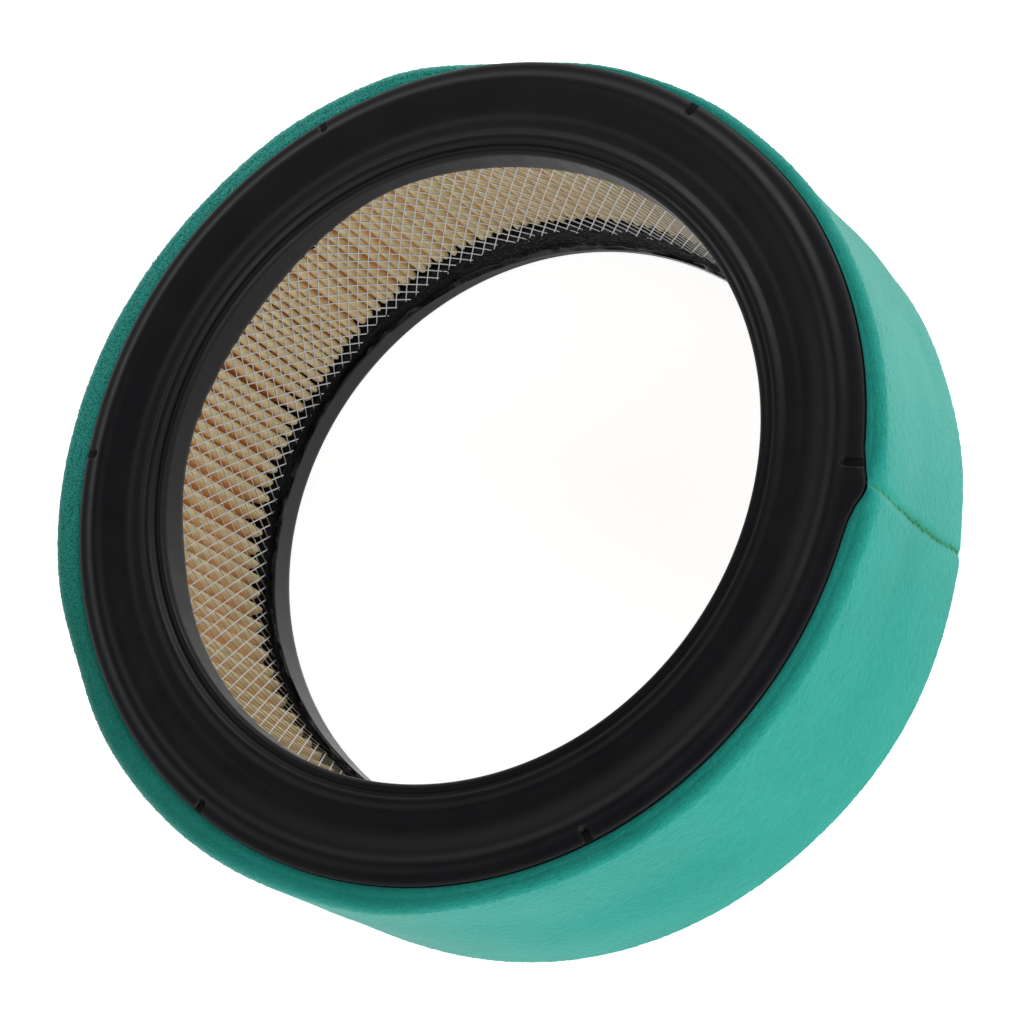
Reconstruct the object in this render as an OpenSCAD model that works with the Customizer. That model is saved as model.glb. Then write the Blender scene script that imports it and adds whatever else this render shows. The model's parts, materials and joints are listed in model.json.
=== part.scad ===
// Round pleated air filter element with a foam pre-cleaner sleeve.
// The element stands on its lower seal ridge, with +Z along its axis.
// Two moulded end caps hold two metal screens with a pleated paper pack between them,
// and a stitched foam sleeve is pulled over the outside.

/* [End caps] */
// Outside diameter of both end caps
cap_od = 173; // [170:1:178]
// Diameter of the bore through both end caps
bore_d = 132.6; // [131:0.2:133]
// Distance between the outer faces of the two end caps
face_to_face = 56.7; // [50:0.1:80]
// Height of the side wall of one end cap
skirt_h = 9; // [8:0.5:12]
// Depth of the channel that holds the ends of the screens and the paper
channel_depth = 3.6; // [2:0.2:4]

/* [Cap face] */
// Height of the sealing ridge over the cap's outer face
ridge_h = 0.75; // [0.5:0.05:1.5]
// Width of the flat top of the sealing ridge
ridge_top_w = 1; // [0.6:0.1:1.4]
// Distance from the cap's edge to the middle of the ridge
ridge_inset = 3.9; // [3.4:0.1:4.4]
// Depth of the shallow dish inside the ridge
dish_depth = 1.15; // [0.6:0.05:1.6]
// Radius of the rounded bead round the bore
bead_r = 1.5; // [1:0.1:1.7]
// Distance from the bore to the middle of the bead
bead_inset = 3.6; // [3.3:0.1:3.8]
// Number of mould notches round the edge of each cap
notch_count = 6; // [0:1:12]
// Width of one notch
notch_w = 2.2; // [1:0.1:3]
// Length of one notch, from the edge inwards
notch_len = 2.8; // [2:0.1:3]
// Depth of one notch
notch_depth = 1; // [0.4:0.1:2]
// Direction of the first notch
notch_angle = -9.5; // [-30:0.5:30]

/* [Screens] */
// Inside diameter of the inner screen
inner_screen_d = 135.2; // [135:0.1:136]
// Inside diameter of the outer screen
outer_screen_d = 166.6; // [166:0.1:167]
// Thickness of both screens over the raised mesh
screen_t = 0.6; // [0.4:0.1:0.7]

/* [Pleated paper] */
// Number of pleats round the ring
pleat_count = 130; // [90:2:150]
// Thickness of the paper
paper_t = 0.4; // [0.2:0.05:0.6]
// Gap between the folds and each screen
fold_gap = 0.3; // [0.1:0.1:0.5]
// Gap between the outer folds and the outer screen
clip_room = 0.9; // [0.8:0.1:1.5]
// Length of the joining clip's legs along the paper
clip_leg = 4; // [2:0.5:6]
// Thickness of the joining clip's sheet metal
clip_t = 0.3; // [0.2:0.05:0.4]
// Direction of the pleat that holds the joining clip
clip_angle = 151; // [0:1:359]

/* [Foam sleeve] */
// Thickness of the foam
foam_t = 7.2; // [5:0.2:12]
// Height of the foam sleeve
foam_h = 52.8; // [48:0.2:54]
// Distance from the upper cap's outer face down to the sleeve's upper edge
foam_drop = 1.3; // [0.5:0.1:2]
// Gap between the sleeve and the end caps
foam_gap = 0.3; // [0.2:0.1:1]
// Rounding of the sleeve's upper outer edge
foam_upper_round = 5.5; // [1:0.5:6]
// Rounding of the sleeve's lower outer edge
foam_lower_round = 2; // [1:0.5:4]
// Direction of the sewn seam
seam_angle = -12.4; // [-90:0.1:90]
// Radius of the groove that the stitches pull into the seam
seam_groove_r = 1.1; // [0.8:0.1:1.6]
// Thickness of the sewing thread
thread_d = 0.9; // [0.5:0.1:1]

/* [Hidden] */
$fn = 180;
arc_steps = 8;

lower_face = ridge_h;
upper_face = ridge_h + face_to_face;
cap_r = cap_od / 2;
bore_r = bore_d / 2;
notch_pitch = 360 / max(notch_count, 1);

// Sections through the cap, as radius and height over its outer face
inner_screen_r = inner_screen_d / 2;
outer_screen_r = outer_screen_d / 2 + screen_t;
channel_gap = 0.2;
channel_inner_r = inner_screen_r - channel_gap;
channel_outer_r = outer_screen_r + channel_gap;
channel_floor = -skirt_h + channel_depth;
edge_round = 0.5;
lip_r = 0.95;
lip_top = -0.75;
groove_floor = -1.3;
inner_land = -0.85;
bead_mid = bore_r + bead_inset;
land_end = bore_r + 8.1;
dish_start = land_end + 0.5;
dish_end = cap_r - ridge_inset - 2.5;
dish_rim = -0.1;
dish_bend = 2.2;
ridge_mid = cap_r - ridge_inset;
ridge_foot = ridge_top_w / 2 + 0.4;
potting_slope = 1.8;
bore_wall_end = -7.8;

// The screens and the paper stand on the floors of the two channels
pack_bottom = lower_face - channel_floor;
pack_top = upper_face + channel_floor;
pack_h = pack_top - pack_bottom;

fold_inner_r = inner_screen_r + screen_t + fold_gap;
fold_outer_r = outer_screen_d / 2 - clip_room;
pleat_pitch = 360 / pleat_count;
pleat_depth = fold_outer_r - fold_inner_r;
// Half the width of one pleat, and the radial thickness of its slanted walls
half_pleat = PI * (fold_outer_r + fold_inner_r) / (2 * pleat_count);
wall_radial_t = paper_t * norm([half_pleat, pleat_depth]) / half_pleat;

foam_inner_r = cap_r + foam_gap;
foam_outer_r = foam_inner_r + foam_t;
foam_top = upper_face - foam_drop;
foam_bottom = foam_top - foam_h;
thread_inset = seam_groove_r - thread_d / 2 - 0.05;

// Points along an arc, from one direction to the other
function arc(x, z, r, from, to) = [
    for (i = [0 : arc_steps])
        let (a = from + (to - from) * i / arc_steps)
        [x + r * cos(a), z + r * sin(a)]
];

// Direction in which an arc meets a given height
function meets(z, r, height) = asin((height - z) / r);

// Outline of the cap's face, skirt and channel, from the bore outwards
function cap_outline() = concat(
    arc(bore_r + lip_r, lip_top - lip_r, lip_r, 180, meets(lip_top - lip_r, lip_r, groove_floor)),
    arc(bead_mid, -bead_r, bead_r, 180 - meets(-bead_r, bead_r, groove_floor), 90),
    arc(bead_mid, -bead_r, bead_r, 90, meets(-bead_r, bead_r, inner_land)),
    [
        [land_end, inner_land],
        [dish_start, -dish_depth],
        [dish_start + dish_bend, -dish_depth + 0.2],
        [dish_end, dish_rim],
        [ridge_mid - ridge_foot, dish_rim],
        [ridge_mid - ridge_top_w / 2, ridge_h],
        [ridge_mid + ridge_top_w / 2, ridge_h],
        [ridge_mid + ridge_foot, 0]
    ],
    arc(cap_r - edge_round, -edge_round, edge_round, 90, 0),
    [
        [cap_r, -skirt_h],
        [channel_outer_r, -skirt_h],
        [channel_outer_r, channel_floor],
        [channel_inner_r, channel_floor],
        [channel_inner_r, bore_wall_end - potting_slope],
        [bore_r, bore_wall_end]
    ]
);

// Star-shaped outline with one point on each outer fold and one on each inner fold
function star(outer_r, inner_r) = [
    for (i = [0 : 2 * pleat_count - 1])
        let (r = (i % 2 == 0) ? outer_r : inner_r)
        let (a = i * pleat_pitch / 2)
        [r * cos(a), r * sin(a)]
];

// Half width of a pleat's outer surface at a given radius
function pleat_half_w(r) =
    let (valley_r = fold_inner_r + wall_radial_t)
    let (valley_x = valley_r * cos(pleat_pitch / 2))
    let (valley_y = valley_r * sin(pleat_pitch / 2))
    valley_y * (fold_outer_r - r) / (fold_outer_r - valley_x);

module tube(outer_r, inner_r, h) {
    linear_extrude(height = h)
    difference() {
        circle(r = outer_r);
        circle(r = inner_r);
    }
}

// One notch, open at the cap's edge, with a round inner end
module notch() {
    end_r = cap_r - notch_len + notch_w / 2;
    translate([0, 0, -notch_depth]) {
        translate([end_r, 0, 0])
        cylinder(d = notch_w, h = notch_depth + 1);
        translate([end_r, -notch_w / 2, 0])
        cube([notch_len, notch_w, notch_depth + 1]);
    }
}

// End cap with its outer face at z = 0 and its skirt below
module end_cap() {
    difference() {
        rotate_extrude()
        polygon(cap_outline());
        if (notch_count > 0) {
            for (i = [0 : notch_count - 1])
                rotate([0, 0, notch_angle + i * notch_pitch])
                notch();
        }
    }
}

module upper_end_cap() {
    color([0.09, 0.09, 0.1])
    translate([0, 0, upper_face])
    end_cap();
}

module lower_end_cap() {
    color([0.09, 0.09, 0.1])
    translate([0, 0, lower_face])
    mirror([0, 0, 1])
    end_cap();
}

module inner_screen() {
    color("silver")
    translate([0, 0, pack_bottom])
    tube(inner_screen_r + screen_t, inner_screen_r, pack_h);
}

module outer_screen() {
    color("silver")
    translate([0, 0, pack_bottom])
    tube(outer_screen_r, outer_screen_r - screen_t, pack_h);
}

// One sheet of paper folded to and fro round the ring
module pleated_paper() {
    color([0.85, 0.7, 0.48])
    translate([0, 0, pack_bottom])
    linear_extrude(height = pack_h)
    difference() {
        polygon(star(fold_outer_r, fold_inner_r + wall_radial_t));
        polygon(star(fold_outer_r - wall_radial_t, fold_inner_r));
    }
}

// Folded strip that grips the outer fold where the two ends of the paper meet
module pleat_seam_clip() {
    leg_r = fold_outer_r - clip_leg;
    leg_w = pleat_half_w(leg_r) + 0.03;
    tip_r = fold_outer_r + 0.05;
    web_r = fold_outer_r + clip_t + 0.05;
    clip_pleat = round(clip_angle / pleat_pitch);
    color("gainsboro")
    rotate([0, 0, clip_pleat * pleat_pitch])
    translate([0, 0, pack_bottom])
    linear_extrude(height = pack_h)
    polygon([
        [leg_r, leg_w],
        [tip_r, 0.03],
        [tip_r, -0.03],
        [leg_r, -leg_w],
        [leg_r, -leg_w - clip_t],
        [web_r, -clip_t],
        [web_r, clip_t],
        [leg_r, leg_w + clip_t]
    ]);
}

// Section of the sleeve's wall, with both outer edges rounded
function foam_outline() = concat(
    [[foam_inner_r, foam_bottom]],
    arc(foam_outer_r - foam_lower_round, foam_bottom + foam_lower_round, foam_lower_round, 270, 360),
    arc(foam_outer_r - foam_upper_round, foam_top - foam_upper_round, foam_upper_round, 0, 90),
    [[foam_inner_r, foam_top]]
);

module foam_sleeve() {
    color([0.22, 0.66, 0.58])
    difference() {
        rotate_extrude()
        polygon(foam_outline());
        rotate([0, 0, seam_angle])
        translate([foam_outer_r, 0, foam_bottom - 1])
        cylinder(r = seam_groove_r, h = foam_h + 2);
    }
}

module sleeve_seam_thread() {
    thread_bottom = foam_bottom + foam_lower_round;
    thread_top = foam_top - foam_upper_round;
    color([0.45, 0.66, 0.3])
    rotate([0, 0, seam_angle])
    translate([foam_outer_r - thread_inset, 0, thread_bottom])
    cylinder(d = thread_d, h = thread_top - thread_bottom);
}

upper_end_cap();
lower_end_cap();
inner_screen();
outer_screen();
pleated_paper();
pleat_seam_clip();
foam_sleeve();
sleeve_seam_thread();
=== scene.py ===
"""Looks of a round air filter element with its foam pre-cleaner sleeve.

Everything is in metres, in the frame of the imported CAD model: +Z along the axis of the
element, with the lower sealing ridge on the floor. Azimuths are in degrees about +Z.
"""
import json
import math

import bpy
import numpy as np
from mathutils import Matrix, Vector


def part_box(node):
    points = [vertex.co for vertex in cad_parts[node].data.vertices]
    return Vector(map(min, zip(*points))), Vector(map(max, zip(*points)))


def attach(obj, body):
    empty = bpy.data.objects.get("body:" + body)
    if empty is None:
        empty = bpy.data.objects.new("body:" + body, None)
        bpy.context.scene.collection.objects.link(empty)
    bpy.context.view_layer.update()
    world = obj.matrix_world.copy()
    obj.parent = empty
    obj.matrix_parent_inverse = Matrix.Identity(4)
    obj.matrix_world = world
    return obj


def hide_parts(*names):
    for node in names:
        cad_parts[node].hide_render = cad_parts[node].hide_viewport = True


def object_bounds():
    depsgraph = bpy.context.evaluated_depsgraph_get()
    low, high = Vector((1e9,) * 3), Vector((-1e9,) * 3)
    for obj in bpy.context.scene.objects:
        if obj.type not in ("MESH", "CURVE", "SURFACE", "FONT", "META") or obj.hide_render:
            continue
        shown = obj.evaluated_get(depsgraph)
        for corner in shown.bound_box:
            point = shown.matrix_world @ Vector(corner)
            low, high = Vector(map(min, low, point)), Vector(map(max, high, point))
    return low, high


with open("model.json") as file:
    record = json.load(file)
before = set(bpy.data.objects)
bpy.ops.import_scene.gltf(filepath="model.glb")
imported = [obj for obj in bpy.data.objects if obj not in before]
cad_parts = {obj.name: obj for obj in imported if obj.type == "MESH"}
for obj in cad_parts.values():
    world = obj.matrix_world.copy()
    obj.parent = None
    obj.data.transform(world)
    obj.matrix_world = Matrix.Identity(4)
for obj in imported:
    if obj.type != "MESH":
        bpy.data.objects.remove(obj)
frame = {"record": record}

CAD_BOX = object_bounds()
MM = 0.001
SEED = 7


# ---------------------------------------------------------------- places from the frame

def outer_radius(node):
    """Largest half width of a node that is centred on the axis."""
    low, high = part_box(node)
    return max(high.x - low.x, high.y - low.y) / 2


def mount(name):
    return next(m for m in frame["record"]["mounts"] if m["name"] == name)


RIDGE_HEIGHT = 0.75 * MM
CAP_RADIUS = outer_radius("upper_end_cap")
BORE_RADIUS = mount("centre_bore")["dims"]["r_mm"] * MM
UPPER_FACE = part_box("upper_end_cap")[1].z - RIDGE_HEIGHT
LOWER_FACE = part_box("lower_end_cap")[0].z + RIDGE_HEIGHT
SKIRT_HEIGHT = UPPER_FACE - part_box("upper_end_cap")[0].z
PACK_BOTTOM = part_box("inner_screen")[0].z
PACK_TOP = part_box("inner_screen")[1].z
SCREEN_THICKNESS = 0.6 * MM
INNER_SCREEN_RADIUS = outer_radius("inner_screen") - SCREEN_THICKNESS
OUTER_SCREEN_RADIUS = outer_radius("outer_screen") - SCREEN_THICKNESS
FOLD_OUTER = outer_radius("pleated_paper")
FOLD_INNER = INNER_SCREEN_RADIUS + SCREEN_THICKNESS + 0.3 * MM
FOAM_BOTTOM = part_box("foam_sleeve")[0].z
FOAM_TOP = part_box("foam_sleeve")[1].z
FOAM_GAP = 0.14 * MM

thread_low, thread_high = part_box("sleeve_seam_thread")
thread_mid = (thread_low + thread_high) / 2
SEAM = math.degrees(math.atan2(thread_mid.y, thread_mid.x))
clip_low, clip_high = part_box("pleat_seam_clip")
clip_mid = (clip_low + clip_high) / 2
CLIP = math.degrees(math.atan2(clip_mid.y, clip_mid.x))


# ---------------------------------------------------------------- shared mesh code

def smoothstep(x):
    x = np.clip(x, 0.0, 1.0)
    return x * x * (3 - 2 * x)


def turn(azimuth, centre):
    """Signed angle from centre to azimuth, in degrees, from -180 to 180."""
    return (azimuth - centre + 180) % 360 - 180


def bump(azimuth, centre, half_width):
    """A smooth hill of height 1 round an azimuth."""
    return np.exp(-((turn(azimuth, centre) / half_width) ** 2))


def stretch(azimuth, centre, half_width, fade):
    """1 along a stretch of azimuth, falling to 0 over the fade at each of its ends."""
    return smoothstep((half_width - np.abs(turn(azimuth, centre))) / fade)


def wobble(rng, size, harmonics, amplitude):
    """Periodic random curve over size samples, with the given highest harmonic."""
    around = np.arange(size) * 2 * math.pi / size
    curve = np.zeros(size)
    for k in range(1, harmonics + 1):
        phase = rng.uniform(0, 2 * math.pi)
        curve += rng.normal() * np.cos(k * around + phase)
    return amplitude * curve / math.sqrt(harmonics)


def smooth_noise(rng, rows, columns, cell_rows, cell_columns):
    """Soft noise of about unit size on a grid that is periodic along its rows axis."""
    coarse_rows = max(4, round(rows / cell_rows))
    coarse_columns = max(4, round(columns / cell_columns) + 3)
    coarse = rng.normal(size=(coarse_rows, coarse_columns))
    r = np.arange(rows) * coarse_rows / rows
    c = np.arange(columns) * (coarse_columns - 2) / columns
    r0, c0 = r.astype(int), c.astype(int)
    fr, fc = smoothstep(r - r0)[:, None], smoothstep(c - c0)[None, :]
    r1, c1 = (r0 + 1) % coarse_rows, c0 + 1
    near = coarse[np.ix_(r0, c0)] * (1 - fc) + coarse[np.ix_(r0, c1)] * fc
    far = coarse[np.ix_(r1, c0)] * (1 - fc) + coarse[np.ix_(r1, c1)] * fc
    return near * (1 - fr) + far * fr


def mesh_object(name, points, faces, smooth=True):
    mesh = bpy.data.meshes.new(name)
    mesh.from_pydata([tuple(p) for p in points], [], [tuple(f) for f in faces])
    mesh.validate()
    mesh.polygons.foreach_set("use_smooth", [smooth] * len(mesh.polygons))
    obj = bpy.data.objects.new(name, mesh)
    bpy.context.collection.objects.link(obj)
    return obj


def closed_band(name, radius, azimuth, height):
    """Watertight ring from arrays [around, section] of each point's place."""
    angle = np.radians(azimuth)
    points = np.stack([radius * np.cos(angle), radius * np.sin(angle), height], axis=-1)
    return band_from_points(name, points)


def band_from_points(name, points):
    """Watertight ring from points [around, section]: both directions close on themselves."""
    around, section = points.shape[:2]
    i = np.arange(around)[:, None]
    j = np.arange(section)[None, :]
    i2, j2 = (i + 1) % around, (j + 1) % section
    quads = np.stack(
        [i * section + j, i2 * section + j, i2 * section + j2, i * section + j2], axis=-1
    )
    return mesh_object(name, points.reshape(-1, 3), quads.reshape(-1, 4).tolist())


def dress(obj, body, slot, material, *nodes):
    """Puts a piece on its body, in place of its CAD nodes, with its material."""
    obj.data.materials.append(material)
    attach(obj, body)
    if nodes:
        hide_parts(*nodes)
    return obj


# ---------------------------------------------------------------- shared material code

class Nodes:
    """Short forms for building one node material."""

    def __init__(self, name):
        self.material = bpy.data.materials.new(name)
        self.material.use_nodes = True
        self.tree = self.material.node_tree
        self.shader = self.tree.nodes["Principled BSDF"]
        self.place = self.add("ShaderNodeTexCoord").outputs["Object"]

    def add(self, kind, **values):
        node = self.tree.nodes.new(kind)
        for key, value in values.items():
            setattr(node, key, value)
        return node

    def link(self, source, target):
        self.tree.links.new(source, target)

    def stretched(self, scale):
        node = self.add("ShaderNodeMapping")
        node.inputs["Scale"].default_value = scale
        self.link(self.place, node.inputs["Vector"])
        return node.outputs["Vector"]

    def noise(self, scale, detail=3.0, roughness=0.55, place=None):
        node = self.add("ShaderNodeTexNoise")
        node.inputs["Scale"].default_value = scale
        node.inputs["Detail"].default_value = detail
        node.inputs["Roughness"].default_value = roughness
        self.link(place or self.place, node.inputs["Vector"])
        return node.outputs["Fac"]

    def cells(self, scale):
        node = self.add("ShaderNodeTexVoronoi", feature="F1")
        node.inputs["Scale"].default_value = scale
        self.link(self.place, node.inputs["Vector"])
        return node.outputs["Distance"]

    def spread(self, value, from_low, from_high, to_low, to_high):
        node = self.add("ShaderNodeMapRange")
        self.link(value, node.inputs["Value"])
        node.inputs["From Min"].default_value = from_low
        node.inputs["From Max"].default_value = from_high
        node.inputs["To Min"].default_value = to_low
        node.inputs["To Max"].default_value = to_high
        return node.outputs["Result"]

    def split(self, vector):
        """The X, Y and Z of a vector."""
        node = self.add("ShaderNodeSeparateXYZ")
        self.link(vector, node.inputs["Vector"])
        return node.outputs["X"], node.outputs["Y"], node.outputs["Z"]

    def math(self, operation, a, b=0.0):
        node = self.add("ShaderNodeMath", operation=operation)
        for socket, value in zip(node.inputs, (a, b)):
            if isinstance(value, (int, float)):
                socket.default_value = value
            else:
                self.link(value, socket)
        return node.outputs["Value"]

    def blend(self, factor, a, b):
        node = self.add("ShaderNodeMix", data_type="RGBA")
        self.link(factor, node.inputs["Factor"])
        for socket, value in ((node.inputs["A"], a), (node.inputs["B"], b)):
            if isinstance(value, tuple):
                socket.default_value = (*value, 1.0)
            else:
                self.link(value, socket)
        return node.outputs["Result"]

    def relief(self, height, depth, strength=1.0):
        node = self.add("ShaderNodeBump")
        node.inputs["Strength"].default_value = strength
        node.inputs["Distance"].default_value = depth
        self.link(height, node.inputs["Height"])
        self.link(node.outputs["Normal"], self.shader.inputs["Normal"])

    def colour(self, value):
        self.link(value, self.shader.inputs["Base Color"])

    def set(self, **values):
        for key, value in values.items():
            socket = self.shader.inputs[key.replace("_", " ").title().replace("Ior", "IOR")]
            if isinstance(value, (int, float, tuple)):
                socket.default_value = value
            else:
                self.link(value, socket)


DEEP_BLACK, SKIN_BLACK = (0.0060, 0.0062, 0.0073), (0.0098, 0.0101, 0.0118)


def cap_material():
    """Satin black moulded polyurethane with a fine skin, painted a little lighter on the far side:
    painted light, standing in for the brighter reflection there.
    """
    n = Nodes("moulded_black")
    cloud = n.noise(45.0, 4.0)
    black = n.blend(cloud, DEEP_BLACK, SKIN_BLACK)
    _, y, _ = n.split(n.place)
    # Painted light: lighter towards the far side (+Y), standing in for the brighter reflection
    # there.
    painted_far_light = n.spread(y, 0.25 * CAP_RADIUS, 0.95 * CAP_RADIUS, 0.0, 0.8)
    n.colour(n.blend(painted_far_light, black, (0.0165, 0.0165, 0.018)))
    patch = n.noise(110.0, 5.0)
    n.set(roughness=n.spread(patch, 0.3, 0.7, 0.4, 0.52))
    n.set(specular_ior_level=0.27)
    skin = n.math("ADD", n.noise(2600.0, 2.0), n.math("MULTIPLY", n.noise(380.0, 3.0), 1.2))
    n.relief(skin, 0.025 * MM, 0.5)
    return n.material


def bore_material(name, specular, smooth, rough):
    """A bore's wall: the same skin, with faint drag marks where it left the mould's core."""
    n = Nodes(name)
    drag = n.noise(300.0, 4.0, 0.6, n.stretched((1.0, 1.0, 0.3)))
    n.colour(n.blend(drag, DEEP_BLACK, SKIN_BLACK))
    n.set(roughness=n.spread(drag, 0.3, 0.7, smooth, rough), specular_ior_level=specular)
    n.relief(drag, 0.03 * MM, 0.5)
    return n.material


def potting_material():
    """The same compound where it was poured: coarse and bubbly, with a few small glints."""
    n = Nodes("poured_black")
    lumps = n.noise(900.0, 4.0, 0.7)
    bubbles = n.cells(1000.0)
    n.colour(n.blend(lumps, (0.001, 0.001, 0.0012), (0.004, 0.004, 0.0045)))
    n.set(roughness=n.spread(bubbles, 0.12, 0.35, 0.15, 0.75))
    n.set(specular_ior_level=0.14)
    n.relief(n.math("ADD", lumps, n.math("MULTIPLY", bubbles, 0.8)), 0.5 * MM, 1.0)
    return n.material


PORE_TEAL, DEEP_TEAL = (0.002, 0.13, 0.092), (0.014, 0.298, 0.238)
# The last tone here is painted light: the paler far side of the foam, lit from behind.
SKIN_TEAL, PAINTED_LIGHT_TEAL = (0.022, 0.357, 0.29), (0.06, 0.63, 0.54)


def foam_material():
    """Open-cell foam: dark pores in a paler net. They show most on its level faces and on
    the far side, which is painted paler too, a painted light. The outside is a plainer skin."""
    n = Nodes("open_cell_foam")
    pores = n.cells(2700.0)
    small = n.noise(3300.0, 2.0, 0.7)
    mottle = n.noise(420.0, 3.0, 0.65)
    cloud = n.noise(38.0, 3.0)
    tone = n.math("ADD", n.math("MULTIPLY", mottle, 0.4), n.math("MULTIPLY", cloud, 0.6))
    skin = n.blend(n.spread(tone, 0.35, 0.65, 0.0, 1.0), DEEP_TEAL, SKIN_TEAL)
    _, _, upward = n.split(n.tree.nodes["Texture Coordinate"].outputs["Normal"])
    level = n.spread(n.math("ABSOLUTE", upward), 0.2, 0.9, 0.42, 1.0)
    x, y, _ = n.split(n.place)
    across = n.math("SUBTRACT", x, y)
    closed = n.spread(across, -0.9 * CAP_RADIUS, 0.6 * CAP_RADIUS, 0.0, 0.75)
    openness = n.math("MULTIPLY", level, n.math("SUBTRACT", 1.0, closed))
    # Painted light: the far side, across the ring from the camera, is blended paler, standing in for
    # light falling on it from behind.
    painted_far_light = n.spread(across, -0.7 * CAP_RADIUS, -1.4 * CAP_RADIUS, 0.0, 0.85)
    skin = n.blend(painted_far_light, skin, PAINTED_LIGHT_TEAL)
    dark = n.math("ADD", n.math("MULTIPLY", pores, 1.1), n.math("MULTIPLY", small, 0.5))
    hollow = n.math("MULTIPLY", n.spread(dark, 0.45, 1.05, 0.0, 0.85), openness)
    n.colour(n.blend(hollow, skin, PORE_TEAL))
    n.set(roughness=0.95, specular_ior_level=0.15)
    n.set(sheen_weight=0.38, sheen_roughness=0.38, sheen_tint=(0.75, 0.97, 0.93, 1.0))
    n.relief(n.math("SUBTRACT", small, n.math("MULTIPLY", pores, 1.2)), 0.06 * MM, 0.45)
    return n.material


def paper_material():
    """Resin-treated filter paper: pale at the folds. Deeper in the valleys its colour is painted
    warm and given a faint glow, painted light standing in for light passing through the paper and
    bouncing between the pleats.
    """
    n = Nodes("filter_paper")
    fibre = n.noise(700.0, 4.0, 0.7, n.stretched((1.0, 1.0, 0.25)))
    cloud = n.noise(60.0, 3.0)
    blotch = n.noise(260.0, 2.0)
    tone = n.math("ADD", n.math("MULTIPLY", fibre, 0.6), n.math("MULTIPLY", cloud, 0.4))
    fold = n.blend(n.spread(tone, 0.3, 0.7, 0.0, 1.0), (0.66, 0.53, 0.285), (0.82, 0.71, 0.46))
    # Painted light: the valleys' warm orange stands in for light passing through the paper and
    # bouncing between the pleats.
    painted_valley_warmth = n.blend(n.spread(blotch, 0.35, 0.65, 0.0, 1.0), (0.8, 0.44, 0.17), (0.88, 0.64, 0.32))
    x, y, _ = n.split(n.place)
    radius = n.math("SQRT", n.math("ADD", n.math("MULTIPLY", x, x), n.math("MULTIPLY", y, y)))
    inwards = n.spread(radius, FOLD_INNER + 0.5 * MM, FOLD_INNER + 2.2 * MM, 0.0, 1.0)
    n.colour(n.blend(inwards, fold, painted_valley_warmth))
    # Painted glow: the valleys emit a little warm light, though the paper is no lamp.
    n.shader.inputs["Emission Color"].default_value = (1.0, 0.5, 0.2, 1.0)
    n.link(n.math("MULTIPLY", inwards, PAINTED_VALLEY_GLOW), n.shader.inputs["Emission Strength"])
    n.set(roughness=0.85, specular_ior_level=0.2)
    n.relief(fibre, 0.05 * MM, 0.6)
    return n.material


def screen_material():
    """Bright galvanised sheet metal, with slightly uneven gloss."""
    n = Nodes("bright_mesh")
    grain = n.noise(900.0, 3.0)
    n.colour(n.blend(n.noise(220.0, 3.0), (0.34, 0.345, 0.355), (0.48, 0.485, 0.5)))
    n.set(metallic=1.0, roughness=n.spread(grain, 0.3, 0.7, 0.25, 0.42))
    n.relief(grain, 0.02 * MM, 0.5)
    return n.material


def clip_material():
    """Plain tinned strip with rolling marks along it."""
    n = Nodes("clip_strip")
    rolled = n.noise(1500.0, 3.0, 0.6, n.stretched((1.0, 1.0, 0.05)))
    n.colour(n.blend(rolled, (0.5, 0.5, 0.49), (0.68, 0.68, 0.66)))
    n.set(metallic=1.0, roughness=n.spread(rolled, 0.3, 0.7, 0.28, 0.45))
    n.relief(rolled, 0.01 * MM, 0.5)
    return n.material


def thread_material():
    """Green sewing thread with a fine twist."""
    n = Nodes("sewing_thread")
    twist = n.add("ShaderNodeTexWave", wave_type="BANDS", bands_direction="DIAGONAL")
    twist.inputs["Scale"].default_value = 1400.0
    n.link(n.place, twist.inputs["Vector"])
    n.colour(n.blend(twist.outputs["Fac"], (0.012, 0.24, 0.075), (0.03, 0.35, 0.125)))
    n.set(roughness=0.8, sheen_weight=0.1)
    n.relief(twist.outputs["Fac"], 0.05 * MM, 0.7)
    return n.material


# ---------------------------------------------------------------- end caps

# Section of the cap's face: distance from the bore and height over the outer face, in mm
CAP_FACE = (
    (0.0, -1.7), (0.2, -1.1), (0.55, -0.82), (1.0, -0.75), (1.5, -0.85),
    (1.95, -1.3), (2.3, -1.3), (2.7, -0.5), (3.2, -0.08), (3.7, 0.0),
    (4.3, -0.12), (4.9, -0.5), (5.3, -0.82), (6.0, -0.85), (8.0, -0.85),
    (8.5, -1.12), (9.2, -1.18), (10.8, -0.98), (13.6, -0.12), (14.5, -0.1),
    (15.5, 0.58), (15.9, 0.75), (16.7, 0.75), (17.1, 0.58), (18.1, 0.0),
    (19.7, 0.0), (20.05, -0.14), (20.2, -0.5),
)
FACE_STEP = 0.15 * MM
INNER_ROUNDING, OUTER_ROUNDING = 6, 24
LIP_TOP = -1.7 * MM
RIM_CORNER = 0.15 * MM
SKIRT_STEPS, LEVEL_STEPS, WALL_STEPS = 10, 48, 8
# The potting's section inside the mesh: share of its depth, and distance from the bore in mm
POTTING_SLOPE = (
    (1.09, 2.0), (1.03, 1.7), (0.97, 1.5), (0.88, 1.42), (0.78, 1.36), (0.66, 1.28),
    (0.54, 1.18), (0.42, 1.05), (0.3, 0.9), (0.19, 0.7), (0.1, 0.48), (0.03, 0.22),
)
POTTING_RISE = 0.9 * MM
NOTCH_COUNT = 6
NOTCH_FIRST = -9.5
NOTCH_WIDTH = 2.0 * MM
NOTCH_LENGTH = 2.8 * MM
NOTCH_DEPTH = 0.7 * MM
NOTCH_SOFT = 0.3 * MM
NOTCH_SHARE = 0.9
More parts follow.
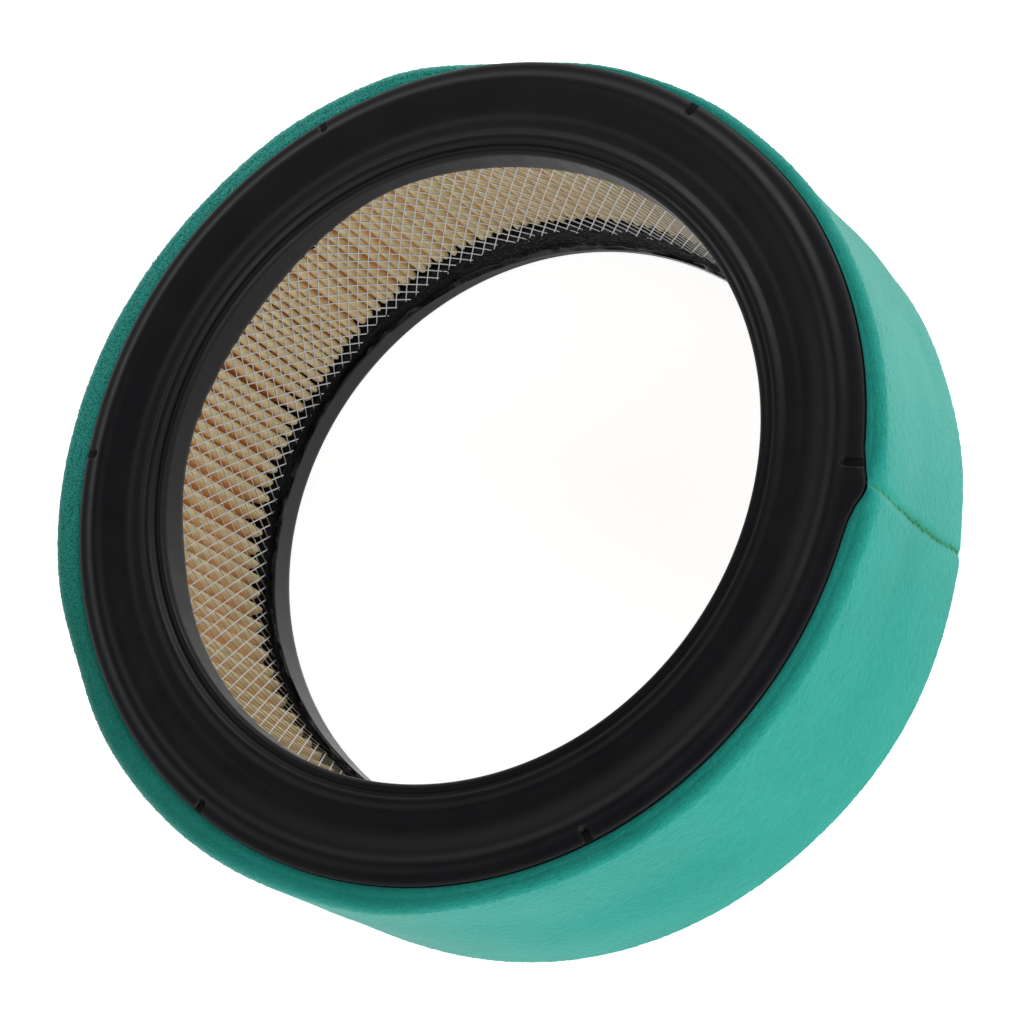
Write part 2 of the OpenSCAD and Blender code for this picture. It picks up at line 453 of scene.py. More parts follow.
# Where the rim stands out as a thin flash beside the sleeve's seam: turn from seam, size
FLASH = (
    (-7.0, 0.0), (-4.6, 0.2), (-2.6, 0.9), (-1.1, 2.0), (-0.2, 2.35), (0.6, 2.25),
    (2.0, 1.7), (5.0, 0.95), (18.0, 0.95), (38.0, 0.85), (54.0, 0.0),
)
FLASH_HEIGHT = 2.0 * MM
FLASH_FADE = 1.5 * MM
# Which material each face of a cap takes
SKIN, POURED, BORE_WALL = 0, 1, 2


def flash(azimuth):
    """How far the upper cap's rim stands out at an azimuth."""
    turns, sizes = zip(*FLASH)
    return np.interp(turn(azimuth, SEAM), turns, sizes) * MM


def cap_azimuths():
    """Even steps round the cap, with finer ones at the notches."""
    steps = [np.arange(0, 360, 0.5)]
    for i in range(NOTCH_COUNT):
        steps.append(NOTCH_FIRST + i * 360 / NOTCH_COUNT + np.arange(-1.6, 1.6, 0.08))
    azimuth = np.sort(np.concatenate(steps) % 360)
    return azimuth[np.diff(azimuth, append=azimuth[0] + 360) > 0.03]


def notch_share(radius, azimuth):
    """1 inside a notch, 0 outside, with a soft edge."""
    pitch = 360 / NOTCH_COUNT
    off = (azimuth - NOTCH_FIRST + pitch / 2) % pitch - pitch / 2
    along = radius * np.cos(np.radians(off))
    across = radius * np.sin(np.radians(off))
    end = CAP_RADIUS - NOTCH_LENGTH + NOTCH_WIDTH / 2
    distance = np.where(along > end, np.abs(across), np.hypot(along - end, across))
    return smoothstep((NOTCH_WIDTH / 2 - distance) / NOTCH_SOFT + 0.5)


def smooth_profile(out, high):
    """The face's section in even steps. Its corners are rounded over, most on the outside."""
    face_r = np.arange(0, out[-1] + FACE_STEP / 2, FACE_STEP)
    sharp = np.interp(face_r, out, high)
    stages = [sharp]
    for _ in range(OUTER_ROUNDING):
        last = stages[-1]
        soft = last.copy()
        soft[1:-1] = last[:-2] * 0.25 + last[1:-1] * 0.5 + last[2:] * 0.25
        stages.append(soft)
    outside = smoothstep((face_r - 4.5 * MM) / (3 * MM))
    return face_r, stages[INNER_ROUNDING] * (1 - outside) + stages[-1] * outside


def cap_piece(name, face, up, wall_end, mesh_end, seed):
    """One moulded cap. face is its outer face's height and up is +1 or -1. At each azimuth
    the smooth bore wall ends at the depth wall_end, and the potting reaches mesh_end."""
    rng = np.random.default_rng(seed)
    azimuth = cap_azimuths()
    count = len(azimuth)
    face_r, face_z = smooth_profile(*(np.array(c) * MM for c in zip(*CAP_FACE)))
    face_r = np.append(face_r + BORE_RADIUS, CAP_RADIUS)
    face_z = np.append(face_z, face_z[-1] - RIM_CORNER)

    skirt_z = np.linspace(-1.0 * MM, -SKIRT_HEIGHT, SKIRT_STEPS)
    skirt_r = np.full(len(skirt_z), CAP_RADIUS)
    skirt_r[-1] -= 0.3 * MM
    first_depth, last_depth = wall_end(azimuth), mesh_end(azimuth)

    # Potting: out from the skirt, level between the screens, then down inside the mesh
    level_r = np.linspace(
        OUTER_SCREEN_RADIUS + 1.0 * MM, INNER_SCREEN_RADIUS + 1.6 * MM, LEVEL_STEPS
    )
    level_z = np.repeat(-(last_depth[:, None] + POTTING_RISE), LEVEL_STEPS, axis=1)
    level_z[:, 0] = -SKIRT_HEIGHT - 0.1 * MM
    share, step = np.array(POTTING_SLOPE).T
    slope_r = BORE_RADIUS + step * MM
    slope_z = -(first_depth[:, None] + (last_depth - first_depth)[:, None] * share[None, :])
    wall = np.arange(WALL_STEPS) / WALL_STEPS
    wall_z = -first_depth[:, None] * (1 - wall[None, :]) + LIP_TOP * wall[None, :]

    section_r = np.concatenate(
        [face_r, skirt_r, level_r, slope_r, np.full(len(wall), BORE_RADIUS)]
    )
    radius = np.repeat(section_r[None, :], count, axis=0)
    fixed = np.concatenate([face_z, skirt_z])
    height = np.concatenate(
        [np.repeat(fixed[None, :], count, axis=0), level_z, slope_z, wall_z], axis=1
    )
    # Potting foams up unevenly between the pleats and along its edge
    first = len(fixed)
    last = first + len(level_r) + len(slope_r)
    rough = smooth_noise(rng, count, last - first, 3, 2) * 0.28 * MM
    rough += smooth_noise(rng, count, last - first, 18, 5) * 0.35 * MM
    rough[:, 0] = 0
    height[:, first:last] += rough
    slope_first = first + len(level_r)
    grain = smooth_noise(rng, count, len(slope_r), 3, 1) * 0.13 * MM
    grain += smooth_noise(rng, count, len(slope_r), 9, 3) * 0.12 * MM
    radius[:, slope_first:last] += grain + 0.1 * MM
    # A moulding is never perfectly flat
    height[:, : len(face_r)] += smooth_noise(rng, count, len(face_r), 60, 30) * 0.03 * MM

    azimuths = np.repeat(azimuth[:, None], radius.shape[1], axis=1)
    notched = notch_share(radius, azimuths)
    height -= NOTCH_SHARE * notched * np.clip(height + NOTCH_DEPTH, 0, None)
    if up > 0:
        near_rim = smoothstep((radius - CAP_RADIUS) / FLASH_FADE + 1)
        near_top = smoothstep((height + FLASH_HEIGHT) / FLASH_FADE + 1)
        radius += flash(azimuths) * near_rim * near_top
        # Turned round, so that its faces look outwards like the lower cap's
        radius, height, azimuths = radius[::-1], height[::-1], azimuths[::-1]
    cap = closed_band(name, radius, azimuths, face + up * height)
    kind = np.full((count, len(section_r)), SKIN, dtype=np.int32)
    kind[:, first:last - 2] = POURED
    kind[:, last - 2:] = BORE_WALL
    return cap, kind.ravel()


def depth_curve(azimuth, mean, waves):
    """A mean depth in mm with hills on it, each given by azimuth, half width and size."""
    return (mean + sum(size * bump(azimuth, centre, width) for centre, width, size in waves)) * MM


def upper_wall_end(azimuth):
    """Depth of the potting edge in the upper bore: it rises and falls round the ring."""
    waves = ((-172, 13, 1.7), (-220, 14, 1.1), (-255, 15, -2.1), (-291, 15, 1.0), (-20, 40, 0.5))
    return depth_curve(azimuth, 7.7, waves)


def upper_mesh_end(azimuth):
    return upper_wall_end(azimuth) + 1.6 * MM


def lower_wall_end(azimuth):
    """The same for the lower bore, where the smooth wall is lower on one side."""
    waves = ((-285, 42, -4.0), (-163, 24, 2.6), (-212, 12, 0.3), (-60, 50, -0.5))
    return depth_curve(azimuth, 7.0, waves)


def lower_mesh_end(azimuth):
    waves = ((-272, 34, 3.4), (-163, 20, 0.2), (-60, 40, 1.0))
    return depth_curve(azimuth, 10.2, waves)


# ---------------------------------------------------------------- expanded metal screens

DIAMOND_WIDTH = 2.9 * MM
DIAMOND_HEIGHT = 4.6 * MM
HOLE_SHARE = 0.9
STRAND_TILT = 0.03 * MM
SHEET = 0.17 * MM
MESH_SINK = 0.12 * MM
# Steps round one diamond from its centre, in half strands, and how its hole's edge leans
DIAMOND = (
    (-2, 0, -1.0), (-1, -1, -0.95), (0, -2, 0.0), (1, -1, 0.95),
    (2, 0, 1.0), (1, 1, 0.95), (0, 2, 0.0), (-1, 1, -0.95),
)


def screen_piece(name, inner_r, bottom, top, sink):
    """A tube of expanded metal: one connected net of diamonds with tilted strands."""
    columns = round(2 * math.pi * inner_r / DIAMOND_WIDTH)
    rows = 2 * round((top - bottom) / DIAMOND_HEIGHT)
    half_turn = math.pi / columns
    half_rise = (top - bottom) / rows
    middle = inner_r + SCREEN_THICKNESS / 2 - sink
    skins = (middle - SHEET / 2, middle + SHEET / 2)
    points, faces, index = [], [], {}

    def point(key, k, j, skin, lean):
        if key not in index:
            index[key] = len(points)
            r, a = skins[skin] + lean * STRAND_TILT, k * half_turn
            points.append((r * math.cos(a), r * math.sin(a), bottom + j * half_rise))
        return index[key]

    for j in range(1, rows):
        for k in range(j % 2, 2 * columns, 2):
            rim, hole = ([], []), ([], [])
            for i, (dk, dj, lean) in enumerate(DIAMOND):
                for skin in (0, 1):
                    edge = ((2 * k + dk) % (4 * columns), 2 * j + dj, skin)
                    rim[skin].append(point(edge, k + dk / 2, j + dj / 2, skin, 0.0))
                    inside = (k + dk / 2 * HOLE_SHARE, j + dj / 2 * HOLE_SHARE)
                    hole[skin].append(point(("hole", k, j, skin, i), *inside, skin, lean))
            for i in range(8):
                n = (i + 1) % 8
                faces.append((rim[1][i], rim[1][n], hole[1][n], hole[1][i]))
                faces.append((rim[0][n], rim[0][i], hole[0][i], hole[0][n]))
                faces.append((hole[0][n], hole[0][i], hole[1][i], hole[1][n]))
                low_edge = j == 1 and i in (0, 1, 2, 3)
                high_edge = j == rows - 1 and i in (4, 5, 6, 7)
                if low_edge or high_edge:
                    faces.append((rim[0][i], rim[0][n], rim[1][n], rim[1][i]))
    return mesh_object(name, points, faces, smooth=False)


# ---------------------------------------------------------------- pleated paper

PLEATS = 138
# Azimuth, and the distance between pleats there compared with the mean
PLEAT_PITCH = (
    (0, 1.0), (60, 0.8), (85, 0.6), (130, 0.6), (150, 0.86), (175, 1.0), (200, 1.2),
    (225, 1.2), (260, 1.05), (360, 1.0),
)
PAPER = 0.4 * MM
# Strength of the painted warm glow in the pleats' valleys
PAINTED_VALLEY_GLOW = 0.018
# Width of a fold: at most or at least this share of the pleat's, and its size
INNER_SHARE, INNER_FOLD = 0.62, 1.65 * MM
OUTER_SHARE, OUTER_FOLD = 0.2, 0.6 * MM
FOLD_ROUND = 0.7 * MM
FOLD_POINTS, WALL_POINTS = 7, 4
WALL_BOW = 0.024
PAPER_LEVELS = 12


def pleat_starts(rng):
    """Azimuth at which each pleat starts, and the last one ends."""
    spacing = 1 + np.clip(rng.normal(size=PLEATS) * 0.16, -0.3, 0.35)
    even = np.arange(0, 361)
    density = 1 / np.interp(even, *np.array(PLEAT_PITCH).T)
    passed = np.concatenate([[0], np.cumsum((density[1:] + density[:-1]) / 2)])
    passed /= passed[-1]
    first = np.interp((CLIP - 180 / PLEATS) % 360, even, passed)
    turns = first + np.concatenate([[0], np.cumsum(spacing)]) / spacing.sum()
    return np.interp(turns % 1, passed, even) + 360 * np.floor(turns)


def pleat_path(rng):
    """Azimuth and radius of the paper's middle line, with rounded, slightly uneven folds."""
    starts = pleat_starts(rng)
    fold = np.linspace(-0.5, 0.5, FOLD_POINTS)
    over = FOLD_ROUND * (1 - np.cos(math.pi * fold))
    wall = np.linspace(0, 1, WALL_POINTS + 2)[1:-1]
    azimuth, radius = [], []
    for start, width in zip(starts, np.diff(starts)):
        tip = FOLD_OUTER - PAPER * 0.5 - abs(rng.normal()) * 0.25 * MM
        root = FOLD_INNER + PAPER * 0.5 + abs(rng.normal()) * 0.3 * MM
        bow = rng.normal() * WALL_BOW * np.sin(math.pi * wall)
        inner = min(INNER_SHARE, INNER_FOLD / math.radians(width) / root)
        outer = max(OUTER_SHARE, OUTER_FOLD / math.radians(width) / tip)
        depth = tip - root - 2 * FOLD_ROUND
        out = 0.5 * inner * (1 - wall) + 0.5 * (1 - outer) * wall + bow
        back = 0.5 * (1 + outer) * (1 - wall) + (1 - 0.5 * inner) * wall + bow
        parts = (inner * fold, out, 0.5 + outer * fold, back)
        azimuth.append(start + width * np.concatenate(parts))
        radius += [root + over, root + FOLD_ROUND + depth * wall]
        radius += [tip - over, tip - FOLD_ROUND - depth * wall]
    return np.concatenate(azimuth), np.concatenate(radius)


def paper_piece():
    rng = np.random.default_rng(SEED + 3)
    azimuth, radius = pleat_path(rng)
    angle = np.radians(azimuth)
    middle = np.stack([radius * np.cos(angle), radius * np.sin(angle)], axis=-1)
    along = np.roll(middle, -1, axis=0) - np.roll(middle, 1, axis=0)
    along /= np.linalg.norm(along, axis=1)[:, None]
    side = np.stack([along[:, 1], -along[:, 0]], axis=-1) * PAPER / 2
    levels = np.linspace(PACK_BOTTOM, PACK_TOP, PAPER_LEVELS)
    count = len(middle)
    drift = smooth_noise(rng, count, len(levels), 14, 5) * 0.12 * MM
    tangent = np.stack([-np.sin(angle), np.cos(angle)], axis=-1)
    outer, inner = [], []
    for i, level in enumerate(levels):
        moved = middle + tangent * drift[:, i][:, None]
        for store, offset in ((outer, side), (inner, -side)):
            xy = moved + offset
            store.append(np.column_stack([xy, np.full(count, level)]))
    section = np.stack(outer + inner[::-1], axis=1)
    return band_from_points("pleated_paper_folds", section)


CLIP_SHEET = 0.28 * MM
CLIP_LEVELS = 46
CRIMP_DEPTH = 0.09 * MM
# One leg of the clip's inside, as distance from the fold and half width in mm
CLIP_INSIDE = ((-3.8, 0.62), (-1.9, 0.38), (-0.2, 0.12), (0.05, 0.0))


def clip_outline():
    """Section of the folded strip, from one leg's end round the fold and back."""
    leg = [(x * MM, y * MM) for x, y in CLIP_INSIDE]
    inside = leg + [(x, -y) for x, y in leg[-2::-1]]
    outside = []
    for x, y in inside:
        near_fold = abs(y) < 0.2 * MM
        shift = math.copysign(CLIP_SHEET, y) if y else 0.0
        outside.append((x + (0.25 * MM if near_fold else 0.0), y + shift))
    return inside + outside[::-1]


def clip_piece():
    """Folded strip on one outer fold, with small crimp marks along its legs."""
    outline = clip_outline()
    points, faces = [], []
    spin = Matrix.Rotation(math.radians(CLIP), 3, "Z")
    for i, level in enumerate(np.linspace(clip_low.z, clip_high.z, CLIP_LEVELS)):
        crimp = CRIMP_DEPTH * (0.5 + 0.5 * math.cos(i * math.pi / 2.5))
        for x, y in outline:
            squeeze = crimp if abs(y) > 0.3 * MM else 0.0
            moved = Vector((FOLD_OUTER + x, y - math.copysign(squeeze, y) * 0.5, level))
            points.append(spin @ moved)
    n = len(outline)
    for i in range(CLIP_LEVELS - 1):
        for j in range(n):
            a, b = i * n + j, i * n + (j + 1) % n
            faces.append((a, b, b + n, a + n))
    faces.append(tuple(range(n))[::-1])
    faces.append(tuple(len(points) - n + j for j in range(n)))
    return mesh_object("pleat_seam_clip_strip", points, faces)


# ---------------------------------------------------------------- foam sleeve

FOAM_MEAN = 92.4 * MM
# Slow waves of the sleeve's outer radius: order, cosine and sine in mm
FOAM_WAVES = ((1, -2.2, -0.3), (2, 0.75, -1.05))
# Azimuth, half width and size in mm of the local dents and bulges, and of the lower flare
FOAM_DENTS = (
    (140, 20, -0.1), (172, 20, -0.9), (199, 8, -1.15), (-110, 12, -0.7), (42, 8, -0.45),
    (60, 10, -1.05), (97, 7, 0.6), (117, 9, 0.45),
)
FOAM_FLARE = (
    (26, 12, 1.2), (6, 8, 0.25), (-7, 6, -0.3), (-36, 12, 0.35), (-80, 24, 0.85),
    (-108, 12, 0.35),
)
# Where the sleeve leans inwards at its top: middle, half width and fade at each end
LEAN_SIDE = (-54.0, 50.0, 22.0)
LEAN = 1.5 * MM
# Where its upper edge is tucked in and low: azimuth and half width, then the sizes
TUCK, TUCK_WIDTH = -280.0, 12.0
TUCK_IN, TUCK_DROP, TUCK_HEIGHT = 0.5 * MM, 1.7 * MM, 9.0 * MM
# Rounding of the upper edge, less on the crisp side, more on the far side and at the seam
EDGE_HEIGHT, EDGE_WIDTH = 4.2 * MM, 3.3 * MM
CRISP_SIDE = (-30.0, 85.0, 30.0)
CRISP_HEIGHT, CRISP_WIDTH = 1.6 * MM, 1.1 * MM
FAR_SIDE, FAR_WIDTH = 132.0, 32.0
FAR_HEIGHT, FAR_EXTRA = 3.6 * MM, 1.6 * MM
SEAM_REACH, SEAM_HEIGHT = 2.6, 2.5 * MM
CORNER = 0.08 * MM
LEAST_FLAT = 0.4 * MM
TOP_SLOPE, TOP_SLOPE_SHARE = 0.5 * MM, 0.2
LOWER_EDGE = 2.0 * MM
PINCH_WIDTH = 0.9 * MM
# Height in mm, and how far the seam is turned there, in degrees
SEAM_WANDER = (
    (4, 1.5), (11, 1.35), (17, 0.85), (27, 0.5), (37, 0.25), (45, 0.1), (52, 0.4), (57, 0.5),
)
FOAM_STEPS = 1400
UNDER_STEPS, OUTSIDE_STEPS, EDGE_STEPS, TOP_STEPS = 12, 104, 24, 12
STILL_RIM = 0.7 * MM


def foam_outer_radius(azimuth):
    """Outer radius at the sleeve's upper edge: a hand-cut strip is never quite even."""
    angle = np.radians(azimuth)
    waves = sum(c * np.cos(k * angle) + s * np.sin(k * angle) for k, c, s in FOAM_WAVES)
    dents = sum(size * bump(azimuth, centre, width) for centre, width, size in FOAM_DENTS)
    tuck = TUCK_IN * bump(azimuth, TUCK, TUCK_WIDTH)
    return FOAM_MEAN + (waves + dents) * MM - tuck - LEAN * stretch(azimuth, *LEAN_SIDE)


def foam_flare(azimuth):
    """How much further out the sleeve stands at its lower edge."""
    flare = sum(size * bump(azimuth, centre, width) for centre, width, size in FOAM_FLARE)
    return flare * MM + LEAN * stretch(azimuth, *LEAN_SIDE)


def foam_wall_radius(azimuth, share):
    """Radius of the outside, from the bottom of its wall, at 0, to the rounding, at 1."""
    return foam_outer_radius(azimuth) + foam_flare(azimuth) * (1 - smoothstep(share * 1.15))


def foam_inner_radius(azimuth):
    """Clear of the cap, and of the flash beside the seam over the sleeve's whole height."""
    return CAP_RADIUS + FOAM_GAP + flash(azimuth) * 1.06


def near_seam(azimuth):
    """1 where the sewing draws the sleeve's upper edge together."""
    return bump(azimuth, SEAM + 0.3, SEAM_REACH)


def foam_rounding(azimuth):
    """Height of the rounding of the sleeve's upper edge."""
    tuck = TUCK_HEIGHT * bump(azimuth, TUCK, TUCK_WIDTH)
    crisp = CRISP_HEIGHT * stretch(azimuth, *CRISP_SIDE)
    far = FAR_HEIGHT * bump(azimuth, FAR_SIDE, FAR_WIDTH)
    return EDGE_HEIGHT + tuck - crisp + far + SEAM_HEIGHT * near_seam(azimuth)


def foam_edge_width(azimuth):
    """Width of the same rounding. At the tuck and the seam it takes nearly the whole wall."""
    wall = foam_outer_radius(azimuth) - foam_inner_radius(azimuth)
    crisp = CRISP_WIDTH * stretch(azimuth, *CRISP_SIDE)
    width = EDGE_WIDTH - crisp + FAR_EXTRA * bump(azimuth, FAR_SIDE, FAR_WIDTH)
    whole = np.maximum(bump(azimuth, TUCK, TUCK_WIDTH), near_seam(azimuth))
    return np.minimum(width * (1 - whole) + wall * whole, wall - LEAST_FLAT)


def seam_line(height):
    """Azimuth of the sewn seam at a height: it wanders a little from straight."""
    heights, turns = zip(*SEAM_WANDER)
    return SEAM + np.interp(height, np.array(heights) * MM, turns)


def seam_pinch(azimuth, radius, height):
    """1 at the bottom of the seam's groove."""
    across = np.radians(turn(azimuth, seam_line(height))) * radius
    return np.exp(-((across / PINCH_WIDTH) ** 2))


def seam_depth(height):
    """The groove is shallow on the wall and deeper at the sleeve's two edges."""
    heights = np.array([FOAM_BOTTOM, FOAM_BOTTOM + 6 * MM, FOAM_TOP - 10 * MM, FOAM_TOP])
    return np.interp(height, heights, np.array([0.25, 0.35, 0.45, 1.1]) * MM)


def foam_section(rng, azimuth):
    """Radius and height of the sleeve's section at each azimuth, before its surface is made
    uneven: down the inside, out along the bottom, up the outside and over the top."""
    inner = foam_inner_radius(azimuth)
    outer = foam_outer_radius(azimuth)
    drop = TUCK_DROP * bump(azimuth, TUCK, TUCK_WIDTH)
    top = FOAM_TOP - drop + wobble(rng, FOAM_STEPS, 9, 0.12 * MM)
    bottom = FOAM_BOTTOM + 0.3 * MM + np.abs(wobble(rng, FOAM_STEPS, 9, 0.12 * MM))
    round_h = foam_rounding(azimuth)
    wall = outer - inner
    radius, height = [], []
    for s in np.concatenate([[0, 0.002], np.linspace(0.01, 1, 12)]):
        radius.append(inner)
        height.append(top - CORNER + (bottom + CORNER - top) * s)
    flare = foam_flare(azimuth)
    for s in np.linspace(0, 1, UNDER_STEPS)[1:]:
        radius.append(inner + (wall + flare) * s ** 0.9)
        height.append(bottom + LOWER_EDGE * (1 - math.cos(math.pi / 2 * s ** 4)))
    low, high = bottom + LOWER_EDGE, top - round_h
    for s in np.linspace(0, 1, OUTSIDE_STEPS)[1:]:
        radius.append(foam_wall_radius(azimuth, s))
        height.append(low + (high - low) * s)
    edge = foam_edge_width(azimuth)
    fall = np.minimum(TOP_SLOPE, (wall - edge) * TOP_SLOPE_SHARE)
    for s in np.linspace(0, 1, EDGE_STEPS)[1:]:
        radius.append(outer - edge * (1 - math.cos(math.pi / 2 * s)))
        height.append(high + (round_h - fall) * math.sin(math.pi / 2 * s))
    for s in np.append(np.linspace(0, 0.95, TOP_STEPS)[1:], (0.97, 1)):
        radius.append(outer - edge - (wall - edge - CORNER) * s)
        height.append(top - fall * (1 - s) ** 2)
    return np.stack(radius, axis=1), np.stack(height, axis=1)


def foam_piece():
    """The sleeve: its section round the ring, with soft dents, fuzz and the seam's groove."""
    rng = np.random.default_rng(SEED + 11)
    azimuth = np.arange(FOAM_STEPS) * 360 / FOAM_STEPS
    radius, height = foam_section(rng, azimuth)
    shape = radius.shape
    azimuths = np.repeat(azimuth[:, None], shape[1], axis=1)
    from_inside = radius - foam_inner_radius(azimuth)[:, None] - CORNER
    shown = smoothstep(from_inside / STILL_RIM)
    dents = smooth_noise(rng, FOAM_STEPS, shape[1], 60, 30) * 0.14 * MM
    ragged = 0.06 * MM * bump(azimuth, FAR_SIDE, FAR_WIDTH)[:, None]
    rough_top = smoothstep((height - FOAM_TOP + 9 * MM) / (6 * MM))
    fuzz = rng.normal(size=shape) * (0.035 * MM + (0.03 * MM + ragged) * rough_top)
    pinch = seam_pinch(azimuths, radius, height) * seam_depth(height)
    radius = radius + (dents + fuzz - pinch) * shown
    height = height + rng.normal(size=shape) * 0.025 * MM * shown
    return closed_band("foam_sleeve_body", radius, azimuths, height)


THREAD_RADIUS = 0.28 * MM
TUBE_SIDES = 8
# Pitch of the stitches, and where the first starts and the last ends, from the sleeve's edges
STITCH, FIRST_STITCH, LAST_STITCH = 2.9 * MM, 2.5 * MM, 0.3 * MM
# Share of the pitch where a stitch starts, and the share that it covers
STITCH_START, STITCH_COVER = 0.06, 0.9
STITCH_STEPS = 9
# How far a stitch arches, how deep its ends dive, how far it crosses the seam, and its spread
STITCH_ARCH, STITCH_DIVE, STITCH_ACROSS, STITCH_SLANT = 0.45 * MM, 0.2 * MM, 0.35 * MM, 0.12 * MM
# Height above the sleeve's bottom where its wall begins
WALL_START = 2.3 * MM


def tube_points(path, radius):
    """Rings of points round a path, with closed ends."""
    points, faces = [], []
    sides = TUBE_SIDES
    for i, p in enumerate(path):
        ahead = path[min(i + 1, len(path) - 1)] - path[max(i - 1, 0)]
        frame_q = ahead.to_track_quat("Z", "Y")
        share = 0.55 if i in (0, len(path) - 1) else 1.0
        for k in range(sides):
            a = 2 * math.pi * k / sides
            offset = Vector((math.cos(a), math.sin(a), 0)) * radius * share
            points.append(p + frame_q @ offset)
    for i in range(len(path) - 1):
        for k in range(sides):
            a, b = i * sides + k, i * sides + (k + 1) % sides
            faces.append((a, b, b + sides, a + sides))
    faces.append(tuple(range(sides))[::-1])
    faces.append(tuple((len(path) - 1) * sides + k for k in range(sides)))
    return points, faces


def seam_height_radius(height):
    """Radius of the seam groove's bottom at a height."""
    azimuth = np.array([float(seam_line(height))])
    outer = float(foam_outer_radius(azimuth)[0])
    edge = float(foam_edge_width(azimuth)[0])
    round_h = float(foam_rounding(azimuth)[0])
    start = FOAM_TOP - round_h
    depth = float(seam_depth(height))
    if height <= start:
        low = FOAM_BOTTOM + WALL_START
        share = max((height - low) / (start - low), 0.0)
        return float(foam_wall_radius(azimuth, share)[0]) - depth
    rise = min((height - start) / round_h, 1.0)
    return outer - edge * (1 - math.sqrt(1 - rise * rise)) - depth


def thread_piece():
    """A row of stitches in the seam groove, each diving into the foam at both ends."""
    points, faces = [], []
    rng = np.random.default_rng(SEED + 17)
    bottom, top = FOAM_BOTTOM + FIRST_STITCH, FOAM_TOP - LAST_STITCH
    count = int((top - bottom) / STITCH)
    for i in range(count):
        low = bottom + i * STITCH
        slant = rng.normal() * STITCH_SLANT
        path = []
        for s in np.linspace(0, 1, STITCH_STEPS):
            height = low + STITCH * (STITCH_START + STITCH_COVER * s)
            lift = STITCH_ARCH * math.sin(math.pi * s) ** 0.6 - STITCH_DIVE
            r = seam_height_radius(height) + lift
            across = slant + (s - 0.5) * STITCH_ACROSS
            a = math.radians(float(seam_line(height))) + across / r
            path.append(Vector((r * math.cos(a), r * math.sin(a), height)))
        more_points, more_faces = tube_points(path, THREAD_RADIUS)
        faces += [tuple(f + len(points) for f in face) for face in more_faces]
        points += more_points
    return mesh_object("sleeve_seam_stitches", points, faces)


# ---------------------------------------------------------------- stage, lights and camera

FLOOR_SIZE, FLOOR_GAP = 12.0, 0.05 * MM


def floor():
    """A pale glowing plane just under the element. It is part of the stage only."""
    level = CAD_BOX[0].z - FLOOR_GAP
    mesh = bpy.data.meshes.new("floor")
    signs = ((-1, -1), (1, -1), (1, 1), (-1, 1))
    corners = [(x * FLOOR_SIZE, y * FLOOR_SIZE, level) for x, y in signs]
    mesh.from_pydata(corners, [], [(0, 1, 2, 3)])
    obj = bpy.data.objects.new("floor", mesh)
    bpy.context.collection.objects.link(obj)
    material = bpy.data.materials.new("pale_floor")
    material.use_nodes = True
    shader = material.node_tree.nodes["Principled BSDF"]
    shader.inputs["Base Color"].default_value = (0.88, 0.88, 0.88, 1)
    shader.inputs["Roughness"].default_value = 0.9
    shader.inputs["Emission Color"].default_value = (1, 1, 1, 1)
    shader.inputs["Emission Strength"].default_value = FLOOR_GLOW
    mesh.materials.append(material)


SKY_LOW, SKY_HIGH = 0.38, 0.84
HORIZON_LIGHT, OVERHEAD_LIGHT = 0.8, 0.03
FLOOR_GLOW = 0.88
# Name, azimuth, elevation, distance, size and power of each soft light
LIGHTS = (
    ("key", 62, 32, 0.9, 0.5, 2.2),
    ("right", -55, 20, 0.9, 0.7, 2.35),
)


def area_light(name, azimuth, elevation, distance, size, power):
    light = bpy.data.lights.new(name, "AREA")
    light.shape = "DISK"
    light.size = size
    light.energy = power
    obj = bpy.data.objects.new(name, light)
    a, e = math.radians(azimuth), math.radians(elevation)
    away = Vector((math.cos(a) * math.cos(e), math.sin(a) * math.cos(e), math.sin(e)))
    centre = (CAD_BOX[0] + CAD_BOX[1]) / 2
    obj.location = centre + away * distance
    obj.rotation_mode = "QUATERNION"
    obj.rotation_quaternion = away.to_track_quat("Z", "Y")
    bpy.context.collection.objects.link(obj)


def lighting():
    """A pale room: bright all round at the level of the horizon, dimmer overhead."""
    world = bpy.data.worlds.new("studio")
    bpy.context.scene.world = world
    world.use_nodes = True
    tree = world.node_tree
    background = tree.nodes["Background"]
    place = tree.nodes.new("ShaderNodeTexCoord")
    parts = tree.nodes.new("ShaderNodeSeparateXYZ")
    fade = tree.nodes.new("ShaderNodeMapRange")
    fade.interpolation_type = "SMOOTHSTEP"
    fade.inputs["From Min"].default_value = SKY_LOW
    fade.inputs["From Max"].default_value = SKY_HIGH
    fade.inputs["To Min"].default_value = HORIZON_LIGHT
    fade.inputs["To Max"].default_value = OVERHEAD_LIGHT
    tree.links.new(place.outputs["Generated"], parts.inputs["Vector"])
    tree.links.new(parts.outputs["Z"], fade.inputs["Value"])
    tree.links.new(fade.outputs["Result"], background.inputs["Strength"])
    background.inputs["Color"].default_value = (0.97, 0.98, 1.0, 1.0)
    for name, azimuth, elevation, distance, size, power in LIGHTS:
        area_light(name, azimuth, elevation, distance, size, power)


# The camera's place from the centre of the upper cap's face, in cap radii, and its axes
CAMERA_OFFSET = Vector((2.805, -2.346, 5.635))
CAMERA_RIGHT = Vector((0.9059, 0.0, -0.4236))
CAMERA_UP = Vector((0.1404, 0.9434, 0.3004))
CAMERA_LENS = 102.2


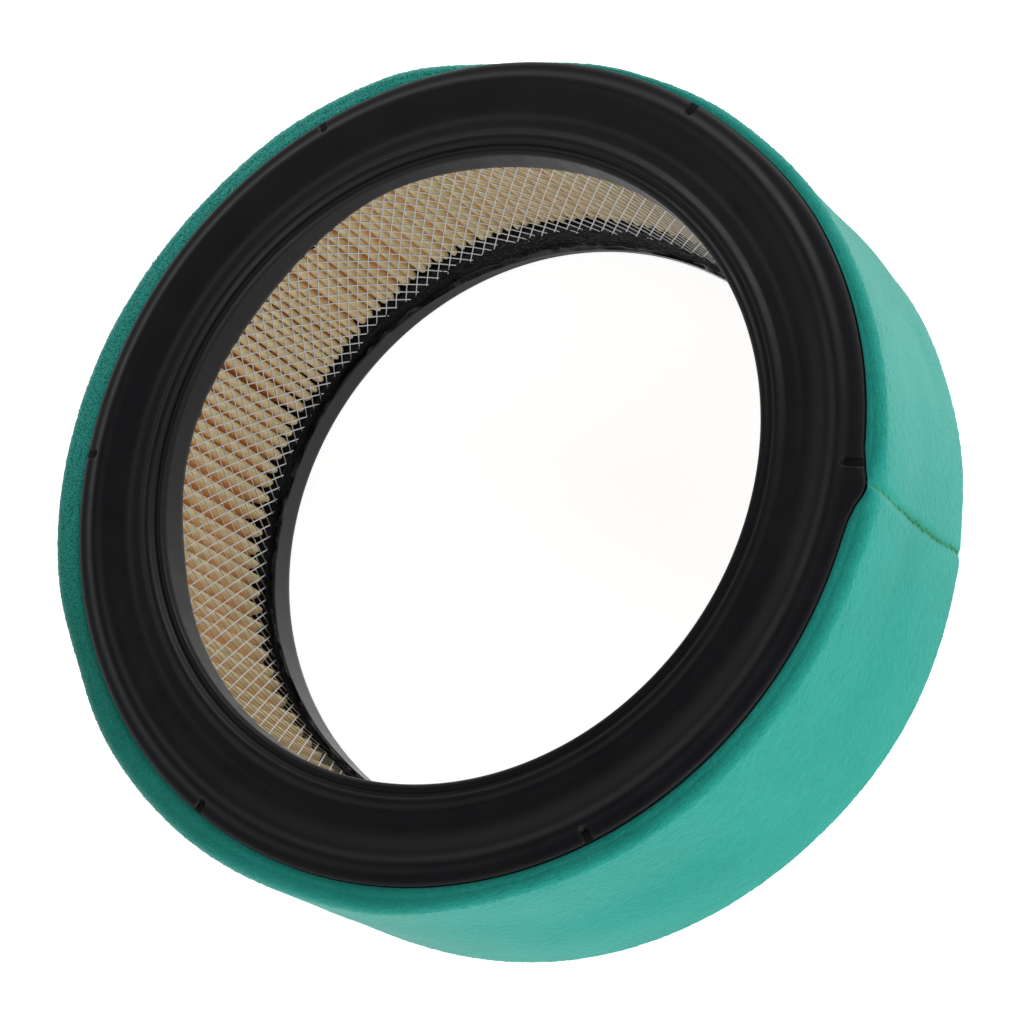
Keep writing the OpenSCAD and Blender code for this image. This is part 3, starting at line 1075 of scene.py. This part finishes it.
def camera():
    data = bpy.data.cameras.new("camera")
    data.lens = CAMERA_LENS
    data.sensor_width = 36.0
    data.clip_start = 0.01
    obj = bpy.data.objects.new("camera", data)
    bpy.context.collection.objects.link(obj)
    place = Vector((0, 0, UPPER_FACE)) + CAMERA_OFFSET * CAP_RADIUS
    right = CAMERA_RIGHT.normalized()
    back = right.cross(CAMERA_UP).normalized()
    up = back.cross(right)
    axes = Matrix((right, up, back)).transposed().to_4x4()
    obj.matrix_world = Matrix.Translation(place) @ axes
    bpy.context.scene.camera = obj


# ---------------------------------------------------------------- the object

bpy.context.scene.view_settings.view_transform = "Standard"
camera()
lighting()
floor()

black = cap_material()
poured = potting_material()
metal = screen_material()

upper_cap, upper_kinds = cap_piece(
    "upper_end_cap_moulding", UPPER_FACE, 1, upper_wall_end, upper_mesh_end, SEED + 1
)
lower_cap, lower_kinds = cap_piece(
    "lower_end_cap_moulding", LOWER_FACE, -1, lower_wall_end, lower_mesh_end, SEED + 2
)
dress(upper_cap, "element", "end_cap", black, "upper_end_cap")
dress(lower_cap, "element", "end_cap", black, "lower_end_cap")
upper_bore = bore_material("upper_bore_black", 0.12, 0.32, 0.44)
lower_bore = bore_material("lower_bore_black", 0.18, 0.22, 0.32)
for cap, wall, kinds in ((upper_cap, upper_bore, upper_kinds), (lower_cap, lower_bore, lower_kinds)):
    cap.data.materials.append(poured)
    cap.data.materials.append(wall)
    cap.data.polygons.foreach_set("material_index", kinds)
dress(screen_piece("inner_screen_mesh", INNER_SCREEN_RADIUS, PACK_BOTTOM, PACK_TOP, MESH_SINK),
      "element", "screen", metal, "inner_screen")
dress(screen_piece("outer_screen_mesh", OUTER_SCREEN_RADIUS, PACK_BOTTOM, PACK_TOP, 0.0),
      "element", "screen", metal, "outer_screen")
dress(paper_piece(), "element", "filter_paper", paper_material(), "pleated_paper")
dress(clip_piece(), "element", "clip_metal", clip_material(), "pleat_seam_clip")

foam = dress(foam_piece(), "pre_cleaner", "foam", foam_material(), "foam_sleeve")
dress(thread_piece(), "pre_cleaner", "thread", thread_material(), "sleeve_seam_thread")
